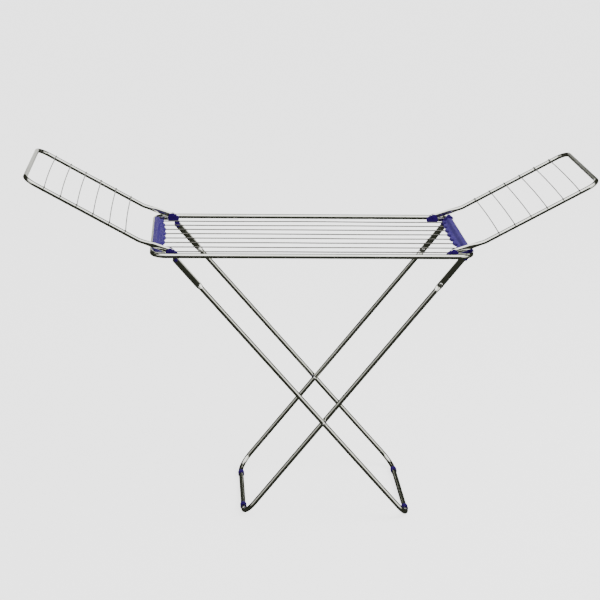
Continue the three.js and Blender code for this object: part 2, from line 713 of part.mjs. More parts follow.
// The hook on top of an inner leg: a shank inside the pressed tube, a shoulder, and a
// mouth round the end tube that opens the way the leg swings off it.
function legHook(group, ySign) {
  const down = group.rotation.y;
  const toTube = new THREE.Vector2(MAIN_LENGTH / 2, MAIN_HEIGHT).sub(INNER_LEG_TOP);
  const tubeX = toTube.x * Math.cos(down) - toTube.y * Math.sin(down);
  const tubeZ = toTube.x * Math.sin(down) + toTube.y * Math.cos(down);
  const middle = (ySign * INNER_LEG_WIDTH) / 2;
  const block = [
    [-HOOK_NOSE, -HOOK_HALF_WIDTH + HOOK_CHAMFER],
    [-HOOK_NOSE + HOOK_CHAMFER, -HOOK_HALF_WIDTH],
    [HOOK_SHOULDER, -HOOK_HALF_WIDTH],
    [HOOK_SHOULDER, HOOK_HALF_WIDTH],
    [-HOOK_NOSE + HOOK_CHAMFER, HOOK_HALF_WIDTH],
    [-HOOK_NOSE, HOOK_HALF_WIDTH - HOOK_CHAMFER],
  ];
  const headFrom = middle - HOOK_HALF_THICKNESS;
  const headTo = middle + HOOK_HALF_THICKNESS;
  let solid = toSolid(profileAlongY(block, headFrom, headTo));
  solid = solid.add(
    boxSolid(
      HOOK_SHOULDER - 2,
      SHANK_LENGTH,
      middle - SHANK_HALF_THICKNESS,
      middle + SHANK_HALF_THICKNESS,
      -SHANK_HALF_WIDTH,
      SHANK_HALF_WIDTH,
    ),
  );
  const mouth = new THREE.BoxGeometry(2 * HOOK_NOTCH, 4 * HOOK_HALF_THICKNESS, MOUTH_LENGTH);
  mouth.translate(0, middle, MOUTH_LENGTH / 2);
  mouth.rotateY(MOUTH_TURN);
  mouth.translate(tubeX, 0, tubeZ);
  const bore = barAlongY(HOOK_NOTCH, tubeX, tubeZ, headFrom - 1, headTo + 1, BORE_STEPS);
  solid = solid.subtract(bore).subtract(toSolid(mouth));
  solid = solid.subtract(barAlongY(RIVET_HOLE, HOOK_RIVET_AT, 0, headFrom, headTo));
  group.add(meshOf(`leg_hook_${frontOrBack(ySign)}`, toGeometry(solid), darkPlastic()));

  const face = LEG_THIN * TUBE_RADIUS + GAP;
  const head = HOOK_RIVET_HEAD;
  const rivet = rivetGeometry(middle - face, middle + face, head, head);
  rivet.translate(HOOK_RIVET_AT, 0, 0);
  group.add(meshOf(`hook_rivet_${frontOrBack(ySign)}`, rivet, rivetSteel()));
}

// A plastic ring on a foot tube, cut flat underneath where it stands on the floor.
function footRing(name, x, y) {
  const outline = [];
  for (let i = 0; i < RING_STEPS; i += 1) {
    const angle = ((i + 0.5) / RING_STEPS) * Math.PI * 2;
    outline.push([Math.cos(angle) * RING_RADIUS, Math.sin(angle) * RING_RADIUS]);
  }
  const yFrom = y - RING_HALF_LENGTH;
  const yTo = y + RING_HALF_LENGTH;
  const solid = toSolid(profileAlongY(outline, yFrom, yTo));
  const pad = boxSolid(-RING_PAD, RING_PAD, yFrom, yTo, -FOOT_HEIGHT, -RING_PAD);
  const boreRadius = RING_BORE / Math.cos(Math.PI / BORE_STEPS);
  const bore = barAlongY(boreRadius, 0, 0, y - DRILL, y + DRILL, BORE_STEPS);
  const geometry = toGeometry(solid.add(pad).subtract(bore));
  geometry.translate(x, 0, FOOT_HEIGHT);
  rack.add(meshOf(name, geometry, darkPlastic()));
}

// ---------------------------------------------------------------- assembly

sideTubes();
mainWires();
for (const end of ends) {
  endBow(end);
  comb(end);
  wing(end);
  for (const ySign of [-1, 1]) {
    const place = `${end.name}_${frontOrBack(ySign * end.sign)}`;
    arm(end, ySign);
    bracket(end, ySign);
    bracketPin(`wing_pin_${place}`, end, ySign, WING_PIVOT.x, WING_PIVOT.y, BRACKET_OUTER);
    if (end.sign < 0) {
      const { x, y } = OUTER_LEG_TOP;
      const face = OUTER_LEG_WIDTH / 2 + LEG_THIN * TUBE_RADIUS;
      bracketPin(`leg_pin_${frontOrBack(ySign * end.sign)}`, end, ySign, -x, y, face);
    }
  }
}

legFrame(
  'outer_leg_frame',
  OUTER_LEG_TOP,
  OUTER_LEG_FOOT_X,
  OUTER_LEG_WIDTH,
  -OUTER_LEG_OVERHANG,
  OUTER_LEG_FLAT,
);
const innerLeg = legFrame(
  'inner_leg_frame',
  INNER_LEG_TOP,
  INNER_LEG_FOOT_X,
  INNER_LEG_WIDTH,
  INNER_LEG_START,
  INNER_LEG_FLAT,
);
for (const ySign of [-1, 1]) {
  crossPivot(ySign);
  legHook(innerLeg, ySign);
  footRing(`foot_ring_outer_${frontOrBack(ySign)}`, OUTER_LEG_FOOT_X, ySign * OUTER_RING_Y);
  footRing(`foot_ring_inner_${frontOrBack(ySign)}`, INNER_LEG_FOOT_X, ySign * INNER_RING_Y);
}

export default rack;
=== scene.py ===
import json
import math

import bmesh
import bpy
from mathutils import Matrix, Vector, noise


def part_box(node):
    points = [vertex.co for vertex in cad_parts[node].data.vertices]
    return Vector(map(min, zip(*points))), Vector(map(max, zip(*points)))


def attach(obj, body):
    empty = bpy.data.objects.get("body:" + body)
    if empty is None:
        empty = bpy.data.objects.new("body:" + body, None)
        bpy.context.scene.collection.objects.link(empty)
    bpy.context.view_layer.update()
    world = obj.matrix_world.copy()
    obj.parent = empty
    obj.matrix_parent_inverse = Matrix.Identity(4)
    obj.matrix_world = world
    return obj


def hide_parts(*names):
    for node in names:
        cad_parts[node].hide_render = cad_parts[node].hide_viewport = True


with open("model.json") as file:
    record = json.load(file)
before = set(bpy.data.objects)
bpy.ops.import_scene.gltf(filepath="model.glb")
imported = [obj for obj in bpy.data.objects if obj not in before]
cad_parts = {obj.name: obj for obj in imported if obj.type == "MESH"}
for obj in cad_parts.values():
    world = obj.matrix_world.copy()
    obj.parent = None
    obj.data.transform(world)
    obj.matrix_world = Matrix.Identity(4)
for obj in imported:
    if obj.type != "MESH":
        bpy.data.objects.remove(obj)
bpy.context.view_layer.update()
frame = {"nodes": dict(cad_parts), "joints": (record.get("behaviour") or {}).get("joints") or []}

# The looks of a winged clothes drying rack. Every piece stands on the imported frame: its
# joints give the pivots, its nodes' boxes give the places, and the sizes below, in
# metres, are those of the same tubes, wires and mouldings.

joints = {joint["name"]: joint for joint in frame["joints"]}

# ------------------------------------------------------------------ sizes

TUBE_RADIUS = 0.008
WING_RADIUS = 0.007
TUBE_WALL = 0.0009
TUBE_SIDES = 36
CORNER_STEPS = 18

MAIN_CORNER = 0.045
LEG_CORNER = 0.055
WING_CORNER = 0.040

WIRE_RADIUS = 0.0020
WING_WIRE_RADIUS = 0.0016
WIRE_SIDES = 14

WING_SLOPE = math.radians(28.84)
TAIL_SLOPE = math.radians(18.8)
TAIL_LENGTH = 0.1048
TAIL_BEND_RADIUS = 0.060
TAIL_OVERHANG = 0.005
TAIL_FLAT = 0.050
TAIL_TAPER = 0.040
TAIL_HALF_THICK = 0.004
TAIL_HALF_WIDE = 0.0087
TAIL_ROUND_END = 0.0105
TAIL_DENT = 0.0006
WING_REACH = 0.397
FIRST_WING_WIRE = 0.050
WING_WIRE_PITCH = 0.0564

OUTER_LEG_FLAT = 0.104
INNER_LEG_FLAT = 0.118
LEG_TAPER = 0.020
LEG_HALF_THICK = 0.0025
LEG_HALF_WIDE = 0.0104
OUTER_LEG_OVERHANG = 0.008
OUTER_LEG_ROUND_END = 0.0105
INNER_LEG_TOP = Vector((0.478, 0.0, 0.878))
INNER_LEG_START = 0.004  # the flat's open end, along the leg from its top point
INNER_LEG_HALF_WIDTH = 0.227
OUTER_LEG_HALF_WIDTH = 0.246
FOOT_HEIGHT = 0.011

RIVET_HEAD = 0.0055
RIVET_PIN = 0.0028
WORKING_GAP = 0.0003
EDGE_ANGLE = math.radians(38)  # a sharper turn between two faces is shaded as an edge

MAIN_HEIGHT = sum(corner.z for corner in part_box("side_tube_front")) / 2
SIDE_Y = sum(corner.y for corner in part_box("side_tube_back")) / 2
END_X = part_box("end_bow_right")[1].x - TUBE_RADIUS
WING_HALF_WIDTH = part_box("wing_tube_left")[1].y - WING_RADIUS
OUTER_LEG_TOP = Vector(joints["leg_fold"]["pos_m"])
CROSSING = Vector(joints["inner_leg_fold"]["pos_m"])

X_AXIS = Vector((1, 0, 0))
Y_AXIS = Vector((0, 1, 0))
Z_AXIS = Vector((0, 0, 1))


# ------------------------------------------------------------------ camera, floor, light

def make_camera():
    data = bpy.data.cameras.new("view")
    data.lens = 105.085
    data.sensor_width = 36.0
    data.clip_end = 100.0
    camera = bpy.data.objects.new("view", data)
    camera.location = (-0.3686, -5.5353, 2.2274)
    camera.rotation_euler = [math.radians(a) for a in (74.3591, -1.0616, -3.2899)]
    bpy.context.scene.collection.objects.link(camera)
    bpy.context.scene.camera = camera


def make_floor():
    mesh = bpy.data.meshes.new("floor")
    half = 40.0
    corners = [(-half, -half, 0), (half, -half, 0), (half, half, 0), (-half, half, 0)]
    mesh.from_pydata(corners, [], [(0, 1, 2, 3)])
    floor = bpy.data.objects.new("floor", mesh)
    bpy.context.scene.collection.objects.link(floor)
    material = bpy.data.materials.new("floor_paper")
    material.use_nodes = True
    shader = material.node_tree.nodes["Principled BSDF"]
    shader.inputs["Base Color"].default_value = (0.86, 0.86, 0.855, 1)
    shader.inputs["Roughness"].default_value = 0.9
    shader.inputs["Specular IOR Level"].default_value = 0.1
    shader.inputs["Emission Color"].default_value = (1.0, 1.0, 0.995, 1)
    shader.inputs["Emission Strength"].default_value = 2.2
    mesh.materials.append(material)
    # The polished tubes mirror the studio round them instead of the paper.
    floor.visible_glossy = False
    floor.visible_diffuse = False


def make_studio_light():
    """A bright tent above the camera, a pale wall behind and a screen at each side."""
    world = bpy.data.worlds.new("studio")
    bpy.context.scene.world = world
    world.use_nodes = True
    nodes = world.node_tree.nodes
    links = world.node_tree.links
    nodes.clear()
    direction = nodes.new("ShaderNodeTexCoord").outputs["Generated"]

    def patch(towards, from_cosine, to_cosine):
        dot = nodes.new("ShaderNodeVectorMath")
        dot.operation = "DOT_PRODUCT"
        dot.inputs[1].default_value = Vector(towards).normalized()
        links.new(direction, dot.inputs[0])
        ramp = nodes.new("ShaderNodeMapRange")
        ramp.interpolation_type = "SMOOTHSTEP"
        ramp.inputs["From Min"].default_value = from_cosine
        ramp.inputs["From Max"].default_value = to_cosine
        links.new(dot.outputs["Value"], ramp.inputs["Value"])
        return ramp.outputs["Result"]

    def blend(amount, low, high):
        mix = nodes.new("ShaderNodeMix")
        mix.data_type = "RGBA"
        links.new(amount, mix.inputs["Factor"])
        for socket, value in ((mix.inputs[6], low), (mix.inputs[7], high)):
            if isinstance(value, tuple):
                socket.default_value = value
            else:
                links.new(value, socket)
        return mix.outputs[2]

    room = (0.040, 0.043, 0.032, 1)
    tent = (3.0, 3.0, 3.0, 1)
    back_wall = (1.2, 1.2, 1.15, 1)
    screen = (1.8, 1.8, 1.7, 1)
    left_screen = (0.8, 0.8, 0.76, 1)
    ambient = (0.50, 0.50, 0.52, 1)
    lit = blend(patch((0.0, -0.50, 0.86), 0.70, 0.82), room, tent)
    lit = blend(patch((0.0, 1.0, 0.02), 0.955, 0.985), lit, back_wall)
    lit = blend(patch((0.77, -0.60, 0.15), 0.84, 0.94), lit, screen)
    lit = blend(patch((-0.77, -0.60, 0.22), 0.88, 0.96), lit, left_screen)
    rays = nodes.new("ShaderNodeLightPath")
    lit = blend(rays.outputs["Is Diffuse Ray"], lit, ambient)
    lit = blend(rays.outputs["Is Camera Ray"], lit, (1.0, 1.0, 1.0, 1))
    background = nodes.new("ShaderNodeBackground")
    links.new(lit, background.inputs["Color"])
    output = nodes.new("ShaderNodeOutputWorld")
    links.new(background.outputs["Background"], output.inputs["Surface"])

    data = bpy.data.lights.new("key", "AREA")
    data.shape = "RECTANGLE"
    data.size = 3.0
    data.size_y = 2.4
    data.energy = 90
    lamp = bpy.data.objects.new("key", data)
    lamp.location = (2.4, -0.9, 3.2)
    aim = Vector((0, 0, 0.7)) - lamp.location
    lamp.rotation_euler = aim.to_track_quat("-Z", "Y").to_euler()
    lamp.visible_glossy = False
    bpy.context.scene.collection.objects.link(lamp)


# ------------------------------------------------------------------ materials

class Finish:
    """A procedural material under construction: a Principled shader and its detail."""

    def __init__(self, name):
        self.material = bpy.data.materials.new(name)
        self.material.use_nodes = True
        self.tree = self.material.node_tree
        self.shader = self.tree.nodes["Principled BSDF"]

    def node(self, kind, **settings):
        made = self.tree.nodes.new(kind)
        for key, value in settings.items():
            setattr(made, key, value)
        return made

    def link(self, output, socket):
        self.tree.links.new(output, socket)

    def noise(self, scale, detail, stretch=(1, 1, 1), coordinates="Object", roughness=0.55):
        coordinate = self.node("ShaderNodeTexCoord")
        mapping = self.node("ShaderNodeMapping")
        mapping.inputs["Scale"].default_value = stretch
        texture = self.node("ShaderNodeTexNoise")
        texture.inputs["Scale"].default_value = scale
        texture.inputs["Detail"].default_value = detail
        texture.inputs["Roughness"].default_value = roughness
        self.link(coordinate.outputs[coordinates], mapping.inputs["Vector"])
        self.link(mapping.outputs["Vector"], texture.inputs["Vector"])
        return texture.outputs["Fac"]

    def spread(self, value, low, high, from_low=0.3, from_high=0.7):
        ramp = self.node("ShaderNodeMapRange")
        ramp.inputs["From Min"].default_value = from_low
        ramp.inputs["From Max"].default_value = from_high
        ramp.inputs["To Min"].default_value = low
        ramp.inputs["To Max"].default_value = high
        self.link(value, ramp.inputs["Value"])
        return ramp.outputs["Result"]

    def tint(self, amount, low, high):
        mix = self.node("ShaderNodeMix", data_type="RGBA")
        self.link(amount, mix.inputs["Factor"])
        for socket, value in ((mix.inputs[6], low), (mix.inputs[7], high)):
            if isinstance(value, tuple):
                socket.default_value = (*value, 1)
            else:
                self.link(value, socket)
        return mix.outputs[2]

    def edges(self, low, high):
        geometry = self.node("ShaderNodeNewGeometry")
        return self.spread(geometry.outputs["Pointiness"], 0, 1, low, high)

    def bump(self, *layers):
        """Each layer is a height and its depth in metres."""
        normal = None
        for height, depth in layers:
            bump = self.node("ShaderNodeBump")
            bump.inputs["Distance"].default_value = depth
            self.link(height, bump.inputs["Height"])
            if normal is not None:
                self.link(normal, bump.inputs["Normal"])
            normal = bump.outputs["Normal"]
        self.link(normal, self.shader.inputs["Normal"])

    def finish(self, colour, roughness):
        self.link(colour, self.shader.inputs["Base Color"])
        self.link(roughness, self.shader.inputs["Roughness"])
        return self.material


def plated_steel(name, dull, bright, low_rough, high_rough):
    """Bright plating with drawing lines along the tube, faint clouding and small pits."""
    made = Finish(name)
    made.shader.inputs["Metallic"].default_value = 1.0
    clouds = made.noise(9, 4)
    drawn = made.noise(1.0, 3, (30, 2200, 1), "UV")
    pits = made.noise(1400, 2)
    colour = made.tint(made.spread(clouds, 0, 1), dull, bright)
    specks = made.spread(pits, 1, 0, 0.24, 0.30)
    colour = made.tint(specks, colour, tuple(0.55 * c for c in dull))
    rough = made.spread(made.noise(60, 5), low_rough, high_rough)
    made.bump((drawn, 0.000012), (pits, 0.000010))
    return made.finish(colour, rough)


def comb_plastic():
    """Purple-blue moulding with flow lines along its length and rubbed edges."""
    made = Finish("comb_plastic")
    made.shader.inputs["Specular IOR Level"].default_value = 0.04
    flow = made.noise(14, 4, (9, 0.35, 9))
    cloud = made.noise(22, 3)
    colour = made.tint(made.spread(flow, 0, 1), (0.040, 0.022, 0.185), (0.072, 0.043, 0.265))
    colour = made.tint(made.spread(cloud, 0, 0.35), colour, (0.055, 0.034, 0.215))
    colour = made.tint(made.edges(0.52, 0.62), colour, (0.150, 0.110, 0.380))
    grain = made.noise(2600, 3)
    rough = made.spread(made.noise(90, 5), 0.30, 0.46)
    made.bump((flow, 0.00006), (grain, 0.000018))
    return made.finish(colour, rough)


def fitting_plastic():
    """Dark indigo moulding, fine-grained, with paler rubbed edges and a few scuffs."""
    made = Finish("fitting_plastic")
    made.shader.inputs["Specular IOR Level"].default_value = 0.05
    cloud = made.noise(35, 4)
    colour = made.tint(made.spread(cloud, 0, 1), (0.016, 0.0022, 0.090), (0.030, 0.0060, 0.150))
    scuffs = made.noise(260, 2, (1, 6, 1))
    colour = made.tint(made.spread(scuffs, 0, 0.5, 0.66, 0.74), colour, (0.075, 0.040, 0.250))
    colour = made.tint(made.edges(0.54, 0.68), colour, (0.090, 0.050, 0.300))
    grain = made.noise(2200, 3)
    rough = made.spread(made.noise(120, 4), 0.26, 0.44)
    made.bump((grain, 0.00002), (cloud, 0.00005))
    return made.finish(colour, rough)


def rivet_steel():
    made = Finish("rivet_steel")
    made.shader.inputs["Metallic"].default_value = 1.0
    turned = made.noise(900, 3, (1, 0.2, 1))
    colour = made.tint(made.spread(turned, 0, 1), (0.60, 0.60, 0.58), (0.80, 0.80, 0.78))
    # Painted shade: the steel is darker where the surface turns inwards, in the creases under the
    # heads.
    colour = made.tint(made.edges(0.40, 0.50), (0.34, 0.33, 0.30), colour)
    rough = made.spread(made.noise(400, 4), 0.18, 0.36)
    made.bump((turned, 0.00002))
    return made.finish(colour, rough)


MATERIALS = {
    "tube": plated_steel("tube_plating", (0.60, 0.61, 0.55), (0.74, 0.74, 0.70), 0.06, 0.17),
    "wire": plated_steel("wire_plating", (0.100, 0.098, 0.088), (0.160, 0.157, 0.142), 0.14, 0.26),
    "comb": comb_plastic(),
    "fitting": fitting_plastic(),
    "rivet": rivet_steel(),
}


# ------------------------------------------------------------------ mesh helpers

def add_piece(name, mesh, slot, body, *nodes, place=None):
    """Turns a mesh into a piece that stands for CAD nodes and rides on their body."""
    if place is not None:
        mesh.transform(place)
    mesh.materials.append(MATERIALS[slot])
    for polygon in mesh.polygons:
        polygon.use_smooth = True
    mesh.set_sharp_from_angle(angle=EDGE_ANGLE)
    piece = bpy.data.objects.new(name, mesh)
    bpy.context.scene.collection.objects.link(piece)
    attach(piece, body)
    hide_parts(*nodes)
    return piece


def mesh_from(name, vertices, faces, uvs=None):
    mesh = bpy.data.meshes.new(name)
    mesh.from_pydata(vertices, [], faces)
    if uvs is not None:
        layer = mesh.uv_layers.new(name="UVMap")
        for loop in mesh.loops:
            layer.data[loop.index].uv = uvs[loop.vertex_index]
    mesh.validate()
    mesh.update()
    return mesh


class Parts:
    """Collects closed shells into one mesh."""

    def __init__(self):
        self.vertices = []
        self.faces = []
        self.uvs = []

    def add(self, vertices, faces, uvs=None):
        first = len(self.vertices)
        self.vertices.extend(vertices)
        self.faces.extend([tuple(first + i for i in face) for face in faces])
        self.uvs.extend(uvs if uvs is not None else [(v[0], v[1]) for v in vertices])

    def mesh(self, name):
        return mesh_from(name, self.vertices, self.faces, self.uvs)


def skin(rows, columns, first=0, closed=False):
    """Quads between rows of points that run round, and back to the first row if closed."""
    faces = []
    for i in range(rows if closed else rows - 1):
        after = (i + 1) % rows
        for k in range(columns):
            turned = (k + 1) % columns
            a, b = first + i * columns + k, first + i * columns + turned
            faces.append((a, b, first + after * columns + turned, first + after * columns + k))
    return faces


def caps(rows, columns, first=0):
    """The two flat faces that close a skin at its first and its last row."""
    last = first + (rows - 1) * columns
    return [
        tuple(first + k for k in range(columns))[::-1],
        tuple(last + k for k in range(columns)),
    ]


class Station:
    """A cross-section on a sweep: where it is, which way it faces and its half sizes."""

    def __init__(self, point, tangent, normal, radius):
        self.point = Vector(point)
        self.tangent = Vector(tangent)
        self.normal = Vector(normal)
        self.across = radius
        self.high = radius
        self.power = 2.0
        self.dent = 0.0

    def ring(self, sides, inset=0.0):
        sideways = self.tangent.cross(self.normal)
        across = max(self.across - inset, 0.0004)
        high = max(self.high - inset, 0.0004)
        ring = []
        for i in range(sides):
            angle = 2 * math.pi * i / sides
            cosine, sine = math.cos(angle), math.sin(angle)
            a = across * math.copysign(abs(cosine) ** (2 / self.power), cosine)
            b = high * math.copysign(abs(sine) ** (2 / self.power), sine)
            if self.dent:
                hollow = math.exp(-((b / (0.55 * high)) ** 2))
                a -= math.copysign(min(self.dent * hollow, 0.6 * abs(a)), a)
            ring.append(self.point + sideways * a + self.normal * b)
        return ring


def sweep(stations, sides, wall=None):
    """A closed skin through the stations: a rod, or a tube where a wall is given."""
    vertices, faces, uvs = [], [], []
    count = len(stations)
    lengths = [0.0]
    for before, after in zip(stations, stations[1:]):
        lengths.append(lengths[-1] + (after.point - before.point).length)

    def add_skin(inset, flip):
        first = len(vertices)
        for station, length in zip(stations, lengths):
            vertices.extend(station.ring(sides, inset))
            uvs.extend([(length, station.across * 2 * math.pi * k / sides) for k in range(sides)])
        faces.extend(quad[::-1] if flip else quad for quad in skin(count, sides, first))
        return first

    outer = add_skin(0.0, False)
    last = (count - 1) * sides
    if wall is None:
        faces.extend(caps(count, sides))
        return vertices, faces, uvs
    inner = add_skin(wall, True)
    for k in range(sides):
        after = (k + 1) % sides
        faces.append((outer + k, inner + k, inner + after, outer + after))
        faces.append(
            (outer + last + k, outer + last + after, inner + last + after, inner + last + k)
        )
    return vertices, faces, uvs


def bend(start, heading, turn_to, normal, radius, stops, tube_radius):
    """Stations round a bend in the plane of the two headings."""
    heading, turn_to = Vector(heading), Vector(turn_to)
    angle = heading.angle(turn_to)
    inward = (turn_to - heading * heading.dot(turn_to)).normalized()
    stations = []
    for i in range(stops + 1):
        turned = angle * i / stops
        point = start + heading * (radius * math.sin(turned))
        point = point + inward * (radius * (1 - math.cos(turned)))
        tangent = heading * math.cos(turned) + inward * math.sin(turned)
        facing = normal(turned) if callable(normal) else normal
        stations.append(Station(point, tangent, facing, tube_radius))
    return stations


def mirrored(stations):
    """The same stations on the other side of Y = 0, walked back."""
    copies = []
    for station in reversed(stations):
        copy = Station(
            (station.point.x, -station.point.y, station.point.z),
            (-station.tangent.x, station.tangent.y, -station.tangent.z),
            (station.normal.x, -station.normal.y, station.normal.z),
            station.across,
        )
        copy.high = station.high
        copy.power = station.power
        copy.dent = station.dent
        copies.append(copy)
    return copies


def u_stations(side, reach, half_width, corner, height, radius):
    """Completes a U whose first side lies at +Y, in the plane z = height."""
    start = Vector((reach - corner, half_width, height))
    half = side + bend(start, X_AXIS, -Y_AXIS, Z_AXIS, corner, CORNER_STEPS, radius)
    middle = Station((reach, 0, height), -Y_AXIS, Z_AXIS, radius)
    return half + [middle] + mirrored(half)


def press(station, amount, half_thick, half_wide, dent):
    """Presses a round station flat by an amount from 0 to 1."""
    eased = amount * amount * (3 - 2 * amount)
    station.across += (half_thick - station.across) * eased
    station.high += (half_wide - station.high) * eased
    station.power = 2.0 - 0.55 * eased
    station.dent = dent * eased


def pressed_side(stops, flat, taper, place, half_thick, half_wide, dent, round_end):
    """Stations down a side whose first stretch is pressed flat."""
    side = []
    for distance in stops:
        station = place(distance)
        amount = min(1.0, max(0.0, (flat + taper - distance) / taper))
        press(station, amount, half_thick, half_wide, dent)
        if round_end and distance < 0:
            station.high *= math.sqrt(max(0.05, 1 - (distance / round_end) ** 2))
        side.append(station)
    return side


def spaced(start, end, steps):
    return [start + (end - start) * i / steps for i in range(steps + 1)]


def rounded(outline, radius, steps=6):
    """Rounds the corners of an outline of (x, z) points. Each corner keeps its share."""
    points = []
    count = len(outline)
    for i, corner in enumerate(outline):
        corner = Vector(corner)
        back = Vector(outline[i - 1]) - corner
        ahead = Vector(outline[(i + 1) % count]) - corner
        reach = min(radius, 0.45 * back.length, 0.45 * ahead.length)
        start = corner + back.normalized() * reach
        end = corner + ahead.normalized() * reach
        for k in range(steps + 1):
            t = k / steps
            points.append(start * (1 - t) ** 2 + corner * (2 * t * (1 - t)) + end * t**2)
    return points


def inset_outline(points, distance):
    moved = []
    count = len(points)
    for i, point in enumerate(points):
        run = points[(i + 1) % count] - points[i - 1]
        if run.length < 1e-9:
            run = Vector((1, 0))
        inward = Vector((-run.y, run.x)).normalized()
        moved.append(point + inward * distance)
    return moved


def slab(outline, y_from, y_to, edge, steps=3):
    """An outline in X and Z, counter-clockwise, extruded along Y with rounded edges."""
    near = []
    for i in range(steps + 1):
        angle = math.pi / 2 * i / steps
        near.append((edge * (1 - math.cos(angle)), edge * (1 - math.sin(angle))))
    levels = [(y_from + depth, inset) for depth, inset in near]
    levels += [(y_to - depth, inset) for depth, inset in reversed(near)]
    vertices = []
    count = len(outline)
    for y, inset in levels:
        vertices.extend([Vector((p.x, y, p.y)) for p in inset_outline(outline, inset)])
    faces = skin(len(levels), count) + caps(len(levels), count)
    return vertices, [face[::-1] for face in faces]


def turned_y(profile, x, z, sides):
    """The points of a profile of (radius, y) turned round an axis along Y at x, z."""
    vertices = []
    for radius, y in profile:
        for k in range(sides):
            angle = 2 * math.pi * k / sides
            offset = Vector((radius * math.cos(angle), 0, radius * math.sin(angle)))
            vertices.append(Vector((x, y, z)) + offset)
    return vertices


def lathe_y(profile, x, z, sides=40):
    """A solid turned round an axis along Y, with a flat face at each end."""
    faces = skin(len(profile), sides) + caps(len(profile), sides)
    return turned_y(profile, x, z, sides), faces


def ring_y(profile, x, z, sides=40):
    """A ring turned round an axis along Y: its profile joins up with itself."""
    return turned_y(profile, x, z, sides), skin(len(profile), sides, closed=True)


def facing_out(mesh):
    """Makes every shell of a mesh face outwards."""
    work = bmesh.new()
    work.from_mesh(mesh)
    bmesh.ops.remove_doubles(work, verts=work.verts, dist=1e-7)
    bmesh.ops.recalc_face_normals(work, faces=work.faces)
    work.to_mesh(mesh)
    work.free()
    return mesh


def end_turn(side):
    """The left end is the right end turned half round."""
    return Matrix.Rotation(0 if side == "right" else math.pi, 4, "Z")


def world_y_name(side, y_sign):
    return "back" if y_sign * (1 if side == "right" else -1) > 0 else "front"


# ------------------------------------------------------------------ main frame

def side_tubes():
    for place in ("front", "back"):
        low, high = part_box(f"side_tube_{place}")
        y = (low.y + high.y) / 2
        stations = []
        for x in spaced(low.x, high.x, 24):
            stations.append(Station((x, y, MAIN_HEIGHT), X_AXIS, Z_AXIS, TUBE_RADIUS))
        mesh = facing_out(mesh_from("side_tube", *sweep(stations, TUBE_SIDES, TUBE_WALL)))
        add_piece(f"side_tube_{place}_skin", mesh, "tube", "main_frame", f"side_tube_{place}")


def end_bows():
    """Each bow carries two corners. Its ends are swaged to plug into the side tubes."""
    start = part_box("end_bow_right")[0].x
    swaged = [(start + distance, TUBE_RADIUS - 0.0004) for distance in (0, 0.001, 0.004)]
    plain = [(x, TUBE_RADIUS) for x in (start + 0.006, END_X - MAIN_CORNER - 0.004)]
    for side in ("left", "right"):
        stub = [
            Station((x, SIDE_Y, MAIN_HEIGHT), X_AXIS, Z_AXIS, radius) for x, radius in swaged + plain
        ]
        stations = u_stations(stub, END_X, SIDE_Y, MAIN_CORNER, MAIN_HEIGHT, TUBE_RADIUS)
        mesh = facing_out(mesh_from("end_bow", *sweep(stations, TUBE_SIDES, TUBE_WALL)))
        add_piece(
            f"end_bow_{side}_skin", mesh, "tube", "main_frame", f"end_bow_{side}",
            place=end_turn(side),
        )


def rod_stations(points, radius):
    """Stations through free points, for a wire with rounded ends."""
    stations = []
    for i, point in enumerate(points):
        before = points[max(i - 1, 0)]
        after = points[min(i + 1, len(points) - 1)]
        tangent = (after - before).normalized()
        helper = Z_AXIS if abs(tangent.z) < 0.9 else X_AXIS
        normal = tangent.cross(helper).cross(tangent).normalized()
        stations.append(Station(point, tangent, normal, radius))
    for end, sign in ((0, -1), (-1, 1)):
        tip = stations[end]
        for share, back in ((0.85, 0.55), (0.45, 0.95)):
            cap = Station(
                tip.point + tip.tangent * (sign * back * radius), tip.tangent, tip.normal,
                radius * share,
            )
            if sign < 0:
                stations.insert(0, cap)
            else:
                stations.append(cap)
        if sign < 0:
            stations[0], stations[1] = stations[0], stations[1]
    return stations


def main_wires():
    """Eight straight wires. Each has its own faint waviness, and none at its ends."""
    for i in range(1, 9):
        node = f"main_wire_{i}"
        low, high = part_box(node)
        middle = (low + high) / 2
        points = []
        for x in spaced(low.x, high.x, 40):
            free = 1 - (x / high.x) ** 2
            wave = noise.noise(Vector((x * 3.1, i * 7.7, 0.4))) * 0.0011 * free
            drift = noise.noise(Vector((x * 2.3, i * 5.1, 9.4))) * 0.0012 * free
            points.append(Vector((x, middle.y + drift, middle.z + wave)))
        mesh = facing_out(mesh_from(node, *sweep(rod_stations(points, WIRE_RADIUS), WIRE_SIDES)))
        add_piece(f"{node}_drawn", mesh, "wire", "main_frame", node)


# ------------------------------------------------------------------ combs

COMB_HALF = 0.215
COMB_TOP = 0.011
SHELF_TOP = 0.002
SHELF_BOTTOM = -0.008
SHELF_END = 0.019
SHELF_BULGE = 0.011
RIB_WIDTH = 0.0115
RAMP_FOOT = 0.0185
TOOTH_LENGTH = 0.009
TOOTH_ROOT = 0.026
TOOTH_TIP = 0.0045


def comb_wire_places():
    places = []
    for i in range(1, 9):
        low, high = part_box(f"main_wire_{i}")
        places.append((low.y + high.y) / 2)
    return places


def shelf_edge(y):
    return SHELF_END + SHELF_BULGE * (1 - (y / COMB_HALF) ** 2)


def comb_edge(y, places):
    """Distance from the end tube's axis to the comb's inner edge, teeth and all."""
    edge = shelf_edge(y)
    for place in places:
        away = abs(y - place)
        if away < TOOTH_ROOT:
            rise = min(1.0, (TOOTH_ROOT - away) / (TOOTH_ROOT - TOOTH_TIP))
            rise = rise * rise * (3 - 2 * rise)
            return edge + TOOTH_LENGTH * rise
    return edge


